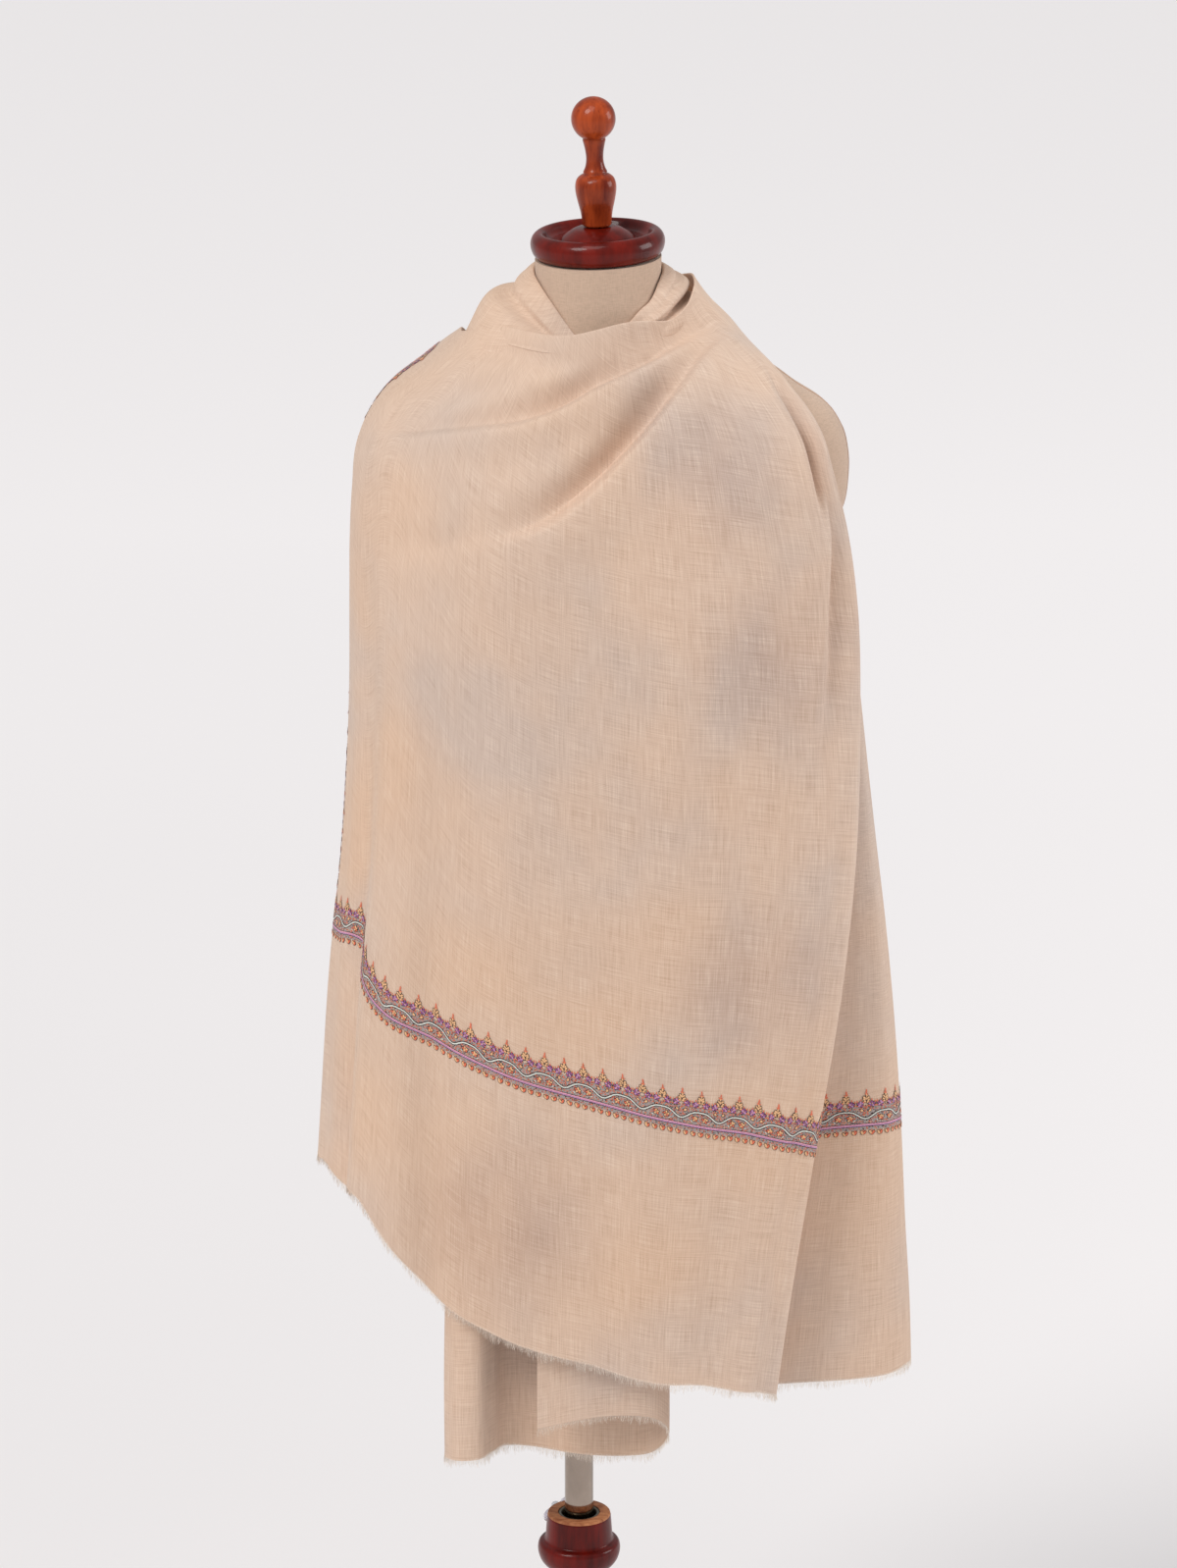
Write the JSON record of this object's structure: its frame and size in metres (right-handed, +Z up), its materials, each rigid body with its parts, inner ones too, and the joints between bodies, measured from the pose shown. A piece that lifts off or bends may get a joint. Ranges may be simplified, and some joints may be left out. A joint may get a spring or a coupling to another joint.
{
  "type": "pashmina shawl on a dress form",
  "caption": "Cream pashmina shawl with a fine embroidered border and frayed ends, wrapped over one shoulder of a limbless linen dress form on a turned wooden stand.",
  "frame": {"origin": "middle of the foot's flat underside, on the pole's axis", "axes": "+Z up along the pole; the wearer's front faces -Y; +X is on the right of someone looking at the front"},
  "size_m": [0.5233, 0.33, 1.7024],
  "materials": {
    "cloth": "fine matt plain weave",
    "fray": "frayed thread ends",
    "linen": "matt linen stretched over the form",
    "finial_wood": "gloss varnish over orange-brown wood",
    "stand_wood": "gloss burgundy lacquer",
    "steel": "polished tube",
    "dark_steel": "dull bush",
    "clear_plastic": "clear moulded knob"
  },
  "bodies": {
    "stand": {"base": "stand_wood", "column": "stand_wood", "collar_liner": "dark_steel"},
    "pole": {"pole": "steel"},
    "form": {"torso": "linen", "neck_cap": "stand_wood", "finial": "finial_wood", "shawl_front": "cloth", "shawl_side": "cloth", "shawl_neck": "cloth", "shawl_under": "cloth", "fringe_front": "fray", "fringe_side": "fray", "fringe_under": "fray"},
    "wing_screw": {"wing_screw": "clear_plastic"}
  },
  "joints": [
    {"name": "pole_height", "type": "slide", "parent": "stand", "child": "pole", "axis": [0, 0, 1], "range_m": [-0.045, 0.15]},
    {"name": "form_swivel", "type": "hinge", "parent": "pole", "child": "form", "pos_m": [0, 0, 0.9], "axis": [0, 0, 1], "continuous": true},
    {"name": "screw_turn", "type": "hinge", "parent": "stand", "child": "wing_screw", "pos_m": [-0.01851, 0.03881, 0.4155], "axis": [-0.4305, 0.9026, 0], "continuous": true}
  ]
}
